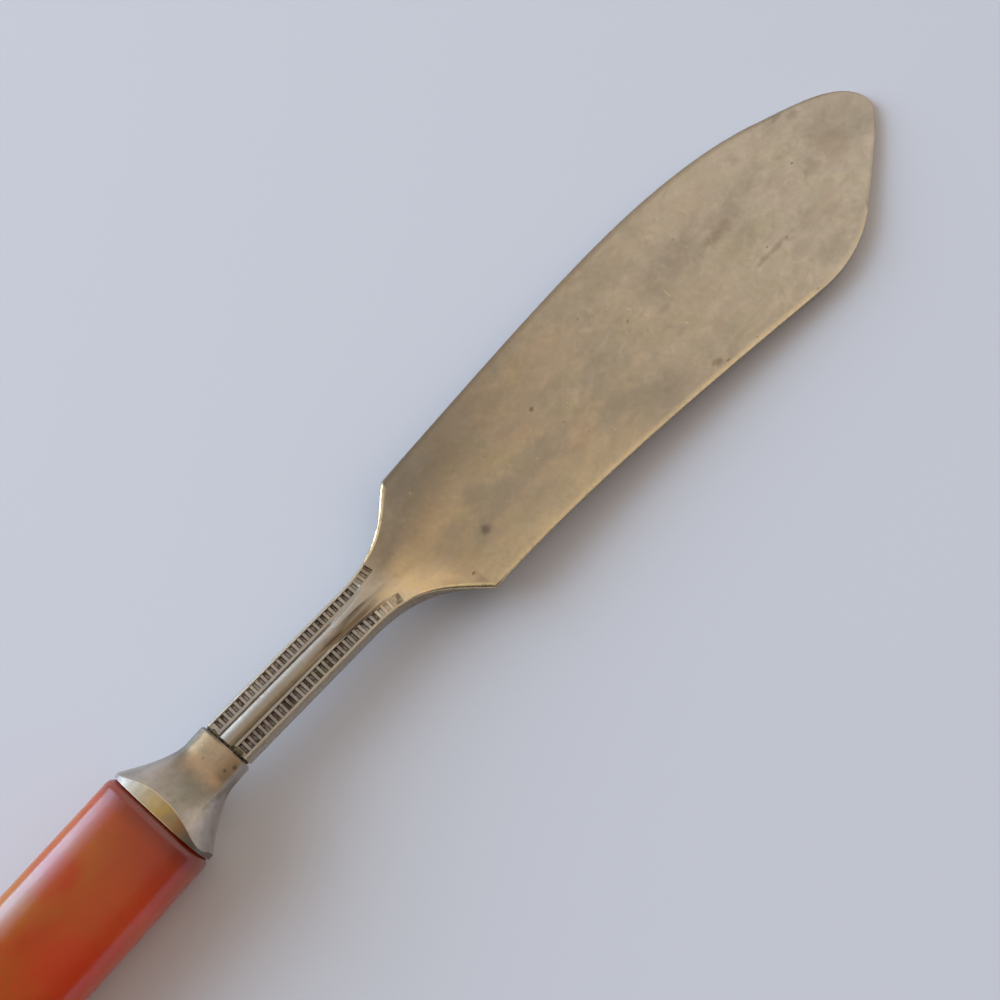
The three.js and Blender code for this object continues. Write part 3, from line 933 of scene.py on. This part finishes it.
def run_solder(bm, settings):
    """An uneven bead round the shoulder, closed round the tang."""
    middle = (SOLDER_LOW + SOLDER_HIGH) / 2
    half = (SOLDER_HIGH - SOLDER_LOW) / 2
    bmesh.ops.create_circle(bm, segments=BEAD_SIDES, radius=1)
    section = squared_oval(SOLDER_LOW.x, half.y, half.z, settings.squareness)
    for vert in bm.verts:
        vert.co = section(atan2(vert.co.y, vert.co.x) + pi / BEAD_SIDES)
    ring = list(bm.edges)
    for _ in range(BEAD_STEPS):
        ring = extrude_loop(bm, ring, lambda co: co + Vector((2 * half.x / BEAD_STEPS, 0, 0)))
    for vert in bm.verts:
        along = (vert.co.x - SOLDER_LOW.x) / (2 * half.x)
        lump = noise.noise(vert.co / settings.lump_size)
        swell = settings.bulge * (sin(pi * along) - 1) + settings.lumps * lump
        vert.co += Vector((0, vert.co.y - middle.y, vert.co.z - middle.z)).normalized() * swell
        vert.co.x += settings.creep * along * clamp(0.5 + lump, 0, 1)
    for end in (SOLDER_LOW.x, SOLDER_HIGH.x):
        rim = [edge for edge in open_edges(bm) if abs(edge.verts[0].co.x - end) < half.x]
        extrude_loop(bm, rim, into_rectangle(end, settings.hole_width, settings.hole_thickness))
    bmesh.ops.bridge_loops(bm, edges=open_edges(bm))
    weld(bm)


# Handle


def cast_handle(bm, settings):
    def rounded_end(end, outward, radius):
        for step in range(END_STEPS + 1):
            angle = step / END_STEPS * pi / 2
            inset = radius * (1 - cos(angle))
            x = end - outward * radius * (1 - sin(angle))
            yield squared_oval(x, HANDLE_SIZE.y / 2 - inset, HANDLE_SIZE.z / 2 - inset, settings.squareness)

    butt = [*rounded_end(HANDLE_LOW.x, -1, settings.butt_rounding)]
    front = [*rounded_end(HANDLE_HIGH.x, 1, settings.front_rounding)]
    sweep(bm, HANDLE_SIDES, [*reversed(butt), *front])
    mouth = [edge for edge in open_edges(bm) if edge.verts[0].co.x > HANDLE_MIDDLE.x]
    for depth in (0, settings.bore_depth):
        bore = into_rectangle(HANDLE_HIGH.x - depth, settings.bore_width, settings.bore_thickness)
        mouth = extrude_loop(bm, mouth, bore)
    bmesh.ops.holes_fill(bm, edges=open_edges(bm))
    weld(bm)


# Nodes


def put(tree, kind, inputs=None, **settings):
    """A new node with its settings and inputs."""
    made = tree.nodes.new(kind)
    for name, value in settings.items():
        setattr(made, name, value)
    feed(tree, made, inputs or {})
    return made


def feed(tree, node, inputs):
    """Sets a node's inputs, each to a value or from a socket."""
    for name, value in inputs.items():
        if isinstance(value, bpy.types.NodeSocket):
            tree.links.new(value, node.inputs[name])
        else:
            node.inputs[name].default_value = value


def clouds(tree, vector, scale, detail=3, roughness=0.55, distortion=0):
    inputs = {"Scale": scale, "Detail": detail, "Roughness": roughness, "Distortion": distortion}
    return put(tree, "ShaderNodeTexNoise", {"Vector": vector, **inputs}).outputs["Fac"]


def span(tree, value, low, high, to_low=0.0, to_high=1.0, shape="SMOOTHSTEP"):
    inputs = {"Value": value, "From Min": low, "From Max": high, "To Min": to_low, "To Max": to_high}
    return put(tree, "ShaderNodeMapRange", inputs, interpolation_type=shape).outputs["Result"]


def reckon(tree, operation, a, b=0.0):
    return put(tree, "ShaderNodeMath", {0: a, 1: b}, operation=operation).outputs[0]


def summed(tree, value, parts):
    """A value plus others, each times its share."""
    for part, share in parts:
        value = reckon(tree, "ADD", value, reckon(tree, "MULTIPLY", part, share))
    return value


def vector_math(tree, operation, inputs):
    return put(tree, "ShaderNodeVectorMath", inputs, operation=operation).outputs


def mixed(tree, share, a, b, blend="MIX"):
    return put(tree, "ShaderNodeMix", {0: share, 6: a, 7: b}, data_type="RGBA", blend_type=blend).outputs[2]


def turned(tree, vector, scale, angle=0.0):
    inputs = {"Vector": vector, "Scale": scale, "Rotation": (0, 0, angle)}
    return put(tree, "ShaderNodeMapping", inputs).outputs["Vector"]


def split(tree, vector):
    return put(tree, "ShaderNodeSeparateXYZ", {0: vector}).outputs


def attribute(tree, name):
    return put(tree, "ShaderNodeAttribute", attribute_name=name).outputs["Fac"]


def bumps(tree, height, strength):
    inputs = {"Height": height, "Strength": strength, "Distance": BUMP}
    return put(tree, "ShaderNodeBump", inputs).outputs["Normal"]


def ramp(tree, value, stops):
    made = put(tree, "ShaderNodeValToRGB", {"Fac": value})
    elements = made.color_ramp.elements
    while len(elements) < len(stops):
        elements.new(0.5)
    for element, (position, stop) in zip(elements, stops):
        element.position = position
        element.color = stop
    return made.outputs["Color"]


FLOAT, COLOUR, VECTOR = "NodeSocketFloat", "NodeSocketColor", "NodeSocketVector"
SURFACE = {"Color": COLOUR, "Roughness": FLOAT, "Height": FLOAT}


def new_group(name, inputs):
    """An empty node group that puts out a surface, with its input sockets and its output node."""
    group = bpy.data.node_groups.new(name, "ShaderNodeTree")
    for side, sockets in (("INPUT", inputs), ("OUTPUT", SURFACE)):
        for socket, kind in sockets.items():
            group.interface.new_socket(socket, in_out=side, socket_type=kind)
    return group, group.nodes.new("NodeGroupInput").outputs, group.nodes.new("NodeGroupOutput")


def new_material(name):
    material = bpy.data.materials.new(name)
    material.use_nodes = True
    tree = material.node_tree
    tree.nodes.clear()
    shader = put(tree, "ShaderNodeBsdfPrincipled")
    put(tree, "ShaderNodeOutputMaterial", {"Surface": shader.outputs["BSDF"]})
    coordinates = put(tree, "ShaderNodeTexCoord").outputs["Object"]
    return material, tree, shader, coordinates


def dress(tree, shader, group, metallic, strength):
    """Feeds a group's surface to a shader."""
    surface = group.outputs
    inputs = {
        "Base Color": surface["Color"],
        "Roughness": surface["Roughness"],
        "Metallic": metallic,
        "Normal": bumps(tree, surface["Height"], strength),
    }
    feed(tree, shader, inputs)


def aged_plate_group():
    """Old silver plate worn to the brass: tarnish, specks, nicks, scratches, grime that is in places painted
    shade, and bright edges that are partly a painted highlight.
    """
    if "aged plate" in bpy.data.node_groups:
        return bpy.data.node_groups["aged plate"]
    inputs = {"Vector": VECTOR}
    inputs.update(dict.fromkeys(("Tone", "Dull Tone", "Bright Tone", "Grime"), COLOUR))
    inputs.update(dict.fromkeys(("Dullness", "Satin", "Crevice", "Wear"), FLOAT))
    tree, given, out = new_group("aged plate", inputs)
    pattern = {
        name: clouds(tree, turned(tree, given["Vector"], stretch, angle), *rest)
        for name, (stretch, angle, *rest) in PLATE_NOISE.items()
    }
    pattern["grain"] = grain = clouds(tree, given["Vector"], 1500, 4, 0.65)
    mask = {name: span(tree, pattern[name], *bounds) for name, bounds in PLATE_MASKS.items()}
    dull = reckon(tree, "MAXIMUM", mask["clouds"], mask["blotches"])
    dull = reckon(tree, "MULTIPLY", dull, given["Dullness"])
    scratches = reckon(tree, "MAXIMUM", mask["scratches"], mask["crossed"])
    worn_and_lit = reckon(tree, "MULTIPLY", given["Wear"], span(tree, grain, 0.25, 0.6, 0.35, 0.9))

    tone = mixed(tree, dull, given["Tone"], given["Dull Tone"])
    for name, low, high, strength, tint in PLATE_TINTS:
        tone = mixed(tree, span(tree, pattern[name], low, high, 0.0, strength), tone, tint, "MULTIPLY")
    tone = mixed(tree, reckon(tree, "MULTIPLY", mask["specks"], 0.6), tone, given["Grime"])
    tone = mixed(tree, reckon(tree, "MULTIPLY", mask["nicks"], 0.25), tone, given["Bright Tone"])
    tone = mixed(tree, worn_and_lit, tone, given["Bright Tone"])
    tone = mixed(tree, given["Crevice"], tone, given["Grime"])

    rough = reckon(tree, "ADD", given["Satin"], span(tree, grain, 0.3, 0.7, -0.045, 0.045))
    rough = summed(tree, rough, ((dull, 0.12), (given["Crevice"], 0.25), (worn_and_lit, -0.1)))
    height = reckon(tree, "MULTIPLY", clouds(tree, given["Vector"], 420, 3), 0.9)
    height = summed(tree, height, ((grain, 0.25), (scratches, -0.06), (mask["specks"], -0.5)))
    feed(tree, out, {"Color": tone, "Roughness": rough, "Height": height})
    return tree


def patch_mask(tree, coordinates, patches, turn, grain):
    """Patches at their places from the shoulder, turned by an angle, with ragged outlines."""
    ragged = span(tree, clouds(tree, coordinates, grain, 4, 0.6), 0.2, 0.8, -0.6, 0.6)
    mask = 0.0
    for along, across, length, width, strength in patches:
        inputs = {
            "Vector": coordinates,
            "Location": SHOULDER + Matrix.Rotation(turn, 3, "Z") @ Vector((along, across, 0)) * MM,
            "Rotation": (0, 0, turn),
            "Scale": (length / 2 * MM, width / 2 * MM, 1),
        }
        near = put(tree, "ShaderNodeMapping", inputs, vector_type="TEXTURE").outputs["Vector"]
        flat = vector_math(tree, "MULTIPLY", {0: near, 1: (1, 1, 0)})[0]
        reach = vector_math(tree, "LENGTH", {0: flat})["Value"]
        spot = span(tree, reckon(tree, "ADD", reach, ragged), 1.7, 0.1, 0.0, strength)
        mask = reckon(tree, "MAXIMUM", mask, spot)
    return mask


def plate_material(name, settings, along, tone_stops, dull_clouds, stains, turn=0.0, facet_stops=None):
    """Aged plate whose tone changes along the knife, with whole plate left where it is rubbed less."""
    material, tree, shader, coordinates = new_material(name)
    axes = split(tree, coordinates)
    wander = span(tree, clouds(tree, coordinates, 120, 3), 0.2, 0.8, -0.04, 0.04)

    def wandering_ramp(value, low, high, stops):
        return ramp(tree, reckon(tree, "ADD", span(tree, value, low, high, shape="LINEAR"), wander), stops)

    tone = wandering_ramp(axes["X"], *along, tone_stops)
    # Where the plate is rubbed less it takes the whole tone; on the blade that is painted shade.
    tone = mixed(tree, attribute(tree, "rub_and_shade"), settings.whole_plate_and_shade_tone, tone)
    if facet_stops:
        facet_tone = wandering_ramp(axes["Y"], HANDLE_HIGH.y, HANDLE_LOW.y, facet_stops)
        tone = mixed(tree, attribute(tree, "facet"), tone, facet_tone)
    for patches, grain, patch_tone in (
        (dull_clouds, CLOUD_GRAIN, settings.dull_tone),
        (stains, STAIN_GRAIN, settings.grime),
    ):
        tone = mixed(tree, patch_mask(tree, coordinates, patches, turn, grain), tone, patch_tone)
    patchy = span(tree, clouds(tree, coordinates, 2200, 3), 0.35, 0.65, 0.55, 1.0)
    soil = reckon(tree, "MULTIPLY", attribute(tree, "soil"), patchy)
    inputs = {
        "Vector": coordinates,
        "Tone": tone,
        "Dull Tone": settings.dull_tone,
        "Bright Tone": settings.bright_metal_and_highlight_tone,
        "Grime": settings.grime,
        "Dullness": PLATE_DULLNESS,
        "Satin": settings.satin,
        "Crevice": reckon(tree, "MAXIMUM", attribute(tree, "grime_and_shade"), soil),
        "Wear": attribute(tree, "wear_and_highlight"),
    }
    plate = put(tree, "ShaderNodeGroup", inputs, node_tree=aged_plate_group())
    dress(tree, shader, plate, metallic=1, strength=0.25)
    return material


def resin_material(settings):
    """Cast resin: amber on one side to red on the other, the red side painted brighter as a glow of light
    through it, with slow warped red clouds, under a polish.
    """
    material, tree, shader, coordinates = new_material("marbled resin")
    inputs = {"Vector": coordinates, "Scale": 90, "Detail": 1}
    warp = put(tree, "ShaderNodeTexNoise", inputs).outputs["Color"]
    centred = vector_math(tree, "SUBTRACT", {0: warp, 1: (0.5, 0.5, 0.5)})[0]
    moved = vector_math(tree, "SCALE", {0: centred, "Scale": 0.009})[0]
    swirled = vector_math(tree, "ADD", {0: coordinates, 1: moved})[0]
    cloud = clouds(tree, turned(tree, swirled, (0.6, 1, 1), 1), 150, 2, 0.45)
    axes = split(tree, coordinates)
    # Painted glow: the resin grows brighter red towards the cutting edge, away from the lamp.
    aside = span(tree, axes["Y"], HANDLE_LOW.y, HANDLE_HIGH.y, shape="LINEAR")
    aside = reckon(tree, "ADD", aside, span(tree, cloud, 0.3, 0.7, -0.08, 0.08))
    body = ramp(tree, aside, ((0.1, settings.garnet_glow), (0.5, settings.ember), (0.85, settings.amber)))
    body = mixed(tree, span(tree, cloud, 0.62, 0.36), body, settings.cloud_tint, "MULTIPLY")
    body = mixed(tree, span(tree, axes["X"], *FLUSH_FROM_TO, 0.0, FLUSHED), body, settings.flush)
    # Painted shade where the handle's front rounding turns away towards the collar.
    body = mixed(tree, span(tree, axes["X"], *SHADE_FROM_TO), body, settings.shade)
    polish = span(tree, clouds(tree, coordinates, 600, 4), 0.3, 0.7, *POLISH)
    rubbed = span(tree, axes["Y"], *RUBBED_FROM_TO, 0.0, RUBBED)
    inputs = {
        "Base Color": body,
        "Roughness": reckon(tree, "ADD", polish, rubbed),
        "IOR": 1.7,
        "Specular Tint": settings.sheen,
        "Subsurface Weight": 1,
        "Subsurface Radius": (1, 0.2, 0.05),
        "Subsurface Scale": settings.glow_depth,
        "Normal": bumps(tree, clouds(tree, coordinates, 260, 2), 0.12),
    }
    feed(tree, shader, inputs)
    return material


def crust_group():
    """Dull granular matter: two tones in grains, rough all over."""
    if "crust" in bpy.data.node_groups:
        return bpy.data.node_groups["crust"]
    inputs = {"Vector": VECTOR, "Grain": FLOAT, "Dark": COLOUR, "Light": COLOUR}
    tree, given, out = new_group("crust", inputs)
    grain = clouds(tree, given["Vector"], given["Grain"], 5, 0.65, 0.3)
    tone = mixed(tree, span(tree, grain, 0.38, 0.66), given["Dark"], given["Light"])
    feed(tree, out, {"Color": tone, "Roughness": span(tree, grain, 0.3, 0.7, 0.62, 0.9), "Height": grain})
    return tree


def crust_material(name, dark, light, grain, metallic):
    material, tree, shader, coordinates = new_material(name)
    inputs = {"Vector": coordinates, "Grain": grain, "Dark": dark, "Light": light}
    crust = put(tree, "ShaderNodeGroup", inputs, node_tree=crust_group())
    dress(tree, shader, crust, metallic, strength=0.6)
    return material


# Operators


class KNIFE_OT_blade(bpy.types.Operator):
    """Make the forged blade with its milled shank and tang"""

    bl_idname = "knife.blade"
    bl_label = "Blade"

    def execute(self, context):
        s = context.scene.knife_blade
        along = (SHOULDER.x, SHOULDER.x + REACH)
        tones = (
            (0, s.shank_tone),
            (0.17, s.shank_tone),
            (0.225, s.tongue_brass_and_highlight_tone),
            (0.3, s.root_tone),
            (0.55, s.middle_tone),
            (0.95, s.tip_tone),
        )
        finish = plate_material("blade plate", s, along, tones, DULL_CLOUDS, STAINS, turn=-s.set_angle)
        make_piece("blade_forging", lambda bm: forge_blade(bm, s), finish, "blade")
        return {"FINISHED"}


class KNIFE_OT_collar(bpy.types.Operator):
    """Make the flared collar between handle and shank"""

    bl_idname = "knife.collar"
    bl_label = "Collar"

    def execute(self, context):
        s = context.scene.knife_collar
        along = (FRONT.x, FRONT.x + COLLAR_LENGTH)
        tones = ((0, s.flare_tone), (0.45, s.flare_tone), (0.72, s.neck_tone))
        facets = (
            (0.12, s.facet_light),
            (0.33, s.facet_tan),
            (0.56, s.facet_gold),
            (0.76, s.facet_tarnish_and_shade),
            (0.88, s.facet_end),
        )
        finish = plate_material(
            "collar plate", s, along, tones, COLLAR_CLOUDS, COLLAR_STAINS, facet_stops=facets
        )
        make_piece("collar_shell", lambda bm: spin_collar(bm, s), finish, "collar")
        return {"FINISHED"}


class KNIFE_OT_handle(bpy.types.Operator):
    """Make the cast resin handle"""

    bl_idname = "knife.handle"
    bl_label = "Handle"

    def execute(self, context):
        s = context.scene.knife_handle
        finish = resin_material(s)
        make_piece("handle_casting", lambda bm: cast_handle(bm, s), finish, "handle")
        return {"FINISHED"}


class KNIFE_OT_solder(bpy.types.Operator):
    """Make the dark solder bead where the shank meets the collar"""

    bl_idname = "knife.solder"
    bl_label = "Solder seam"

    def execute(self, context):
        s = context.scene.knife_solder
        finish = crust_material("oxidised solder", s.crust, s.scale, grain=2600, metallic=0.4)
        make_piece("solder_bead", lambda bm: run_solder(bm, s), finish, "seam_solder")
        return {"FINISHED"}


class KNIFE_OT_fillings(bpy.types.Operator):
    """Finish the cement and the filler that hold the tang, out of sight"""

    bl_idname = "knife.fillings"
    bl_label = "Cement and filler"

    def execute(self, context):
        s = context.scene.knife_fillings
        for node, dark, light in (
            ("tang_cement", s.cement_dark, s.cement_light),
            ("collar_filler", s.filler_dark, s.filler_light),
        ):
            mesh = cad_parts[node].data
            mesh.materials.clear()
            finish = crust_material(node.replace("_", " "), dark, light, grain=1400, metallic=0)
            mesh.materials.append(finish)
        return {"FINISHED"}


class KNIFE_OT_stage(bpy.types.Operator):
    """Set up the floor, the soft lamp, the room light and the camera"""

    bl_idname = "knife.stage"
    bl_label = "Stage"

    def execute(self, context):
        scene = context.scene
        s = scene.knife_stage
        scene.view_settings.view_transform = "Standard"
        lay_floor(s)
        hang_window(scene, s)
        light_room(scene, s)
        place_camera(scene, s)
        return {"FINISHED"}


def lay_floor(s):
    def spread(bm):
        bmesh.ops.create_grid(bm, x_segments=1, y_segments=1, size=s.floor_size / 2)

    material, tree, shader, _ = new_material("pale floor")
    feed(tree, shader, {"Base Color": s.floor_colour, "Roughness": 0.9, "Specular IOR Level": 0.2})
    floor = new_object("floor", spread, material)
    floor.location.z = -FLOOR_DROP


def hang_window(scene, s):
    """A tall soft lamp that stands on the floor, dimmer towards its top."""
    towards = Vector((cos(s.window_azimuth), sin(s.window_azimuth), 0))
    width = 2 * s.window_distance * tan(s.window_spread / 2)
    for low, high, share in WINDOW_PANES:
        bottom, top = (s.window_distance * tan(radians(angle)) for angle in (low, high))
        lamp = bpy.data.lights.new("window", "AREA")
        lamp.shape = "RECTANGLE"
        lamp.size = width
        lamp.size_y = top - bottom
        lamp.energy = s.window_radiance * share * pi * width * (top - bottom)
        lamp.color = s.window_colour[:3]
        pane = bpy.data.objects.new("window", lamp)
        pane.location = towards * s.window_distance + Vector((0, 0, (bottom + top) / 2))
        pane.rotation_euler = towards.to_track_quat("Z", "Y").to_euler()
        pane.visible_camera = False
        scene.collection.objects.link(pane)


def light_room(scene, s):
    """Soft light from all round, brighter beyond the tip than behind the handle."""
    world = bpy.data.worlds.new("room")
    world.use_nodes = True
    tree = world.node_tree
    tree.nodes.clear()
    axes = split(tree, put(tree, "ShaderNodeTexCoord").outputs["Generated"])
    beyond = span(tree, axes["X"], *BEYOND_TIP)
    light = mixed(tree, beyond, s.dim_side, s.bright_side)
    light = mixed(tree, span(tree, axes["X"], *FAR_BEHIND), light, s.far_side)
    away = span(tree, axes["Y"], *AWAY_FROM_WINDOW)
    away = reckon(tree, "MULTIPLY", away, reckon(tree, "SUBTRACT", 1.0, beyond))
    background = put(tree, "ShaderNodeBackground", {"Color": mixed(tree, away, light, s.shady_side)})
    put(tree, "ShaderNodeOutputWorld", {"Surface": background.outputs[0]})
    scene.world = world


def place_camera(scene, s):
    data = bpy.data.cameras.new("camera")
    data.sensor_width = 36
    data.lens = s.camera_lens
    data.clip_start = 1 * MM
    camera = bpy.data.objects.new("camera", data)
    camera.location = Vector((FRONT.x, FRONT.y, 0)) + Vector(s.camera_from_front)
    camera.rotation_euler = (pi / 2 - s.camera_pitch, 0, s.camera_heading - pi / 2)
    scene.collection.objects.link(camera)
    scene.camera = camera


class KNIFE_PT_pieces(bpy.types.Panel):
    """The knife's pieces in the 3D view's sidebar"""

    bl_label = "Butter knife"
    bl_space_type = "VIEW_3D"
    bl_region_type = "UI"
    bl_category = "Knife"

    def draw(self, context):
        for operator in OPERATORS:
            self.layout.operator(operator.bl_idname)
        for name in SETTINGS:
            box = self.layout.box()
            box.label(text=name.replace("knife_", "").capitalize())
            for field in SETTINGS[name].__annotations__:
                box.prop(getattr(context.scene, name), field)


SETTINGS = {
    "knife_blade": BladeSettings,
    "knife_collar": CollarSettings,
    "knife_handle": HandleSettings,
    "knife_solder": SolderSettings,
    "knife_fillings": FillingSettings,
    "knife_stage": StageSettings,
}
OPERATORS = (
    KNIFE_OT_stage,
    KNIFE_OT_handle,
    KNIFE_OT_collar,
    KNIFE_OT_solder,
    KNIFE_OT_blade,
    KNIFE_OT_fillings,
)


def register():
    for name, group in SETTINGS.items():
        bpy.utils.register_class(group)
        setattr(bpy.types.Scene, name, PointerProperty(type=group))
    for cls in (*OPERATORS, KNIFE_PT_pieces):
        bpy.utils.register_class(cls)


def unregister():
    for cls in (KNIFE_PT_pieces, *reversed(OPERATORS)):
        bpy.utils.unregister_class(cls)
    for name, group in SETTINGS.items():
        delattr(bpy.types.Scene, name)
        bpy.utils.unregister_class(group)


def main():
    register()
    bpy.ops.knife.stage()
    bpy.ops.knife.handle()
    bpy.ops.knife.collar()
    bpy.ops.knife.solder()
    bpy.ops.knife.blade()
    bpy.ops.knife.fillings()


if __name__ == "__main__":
    main()
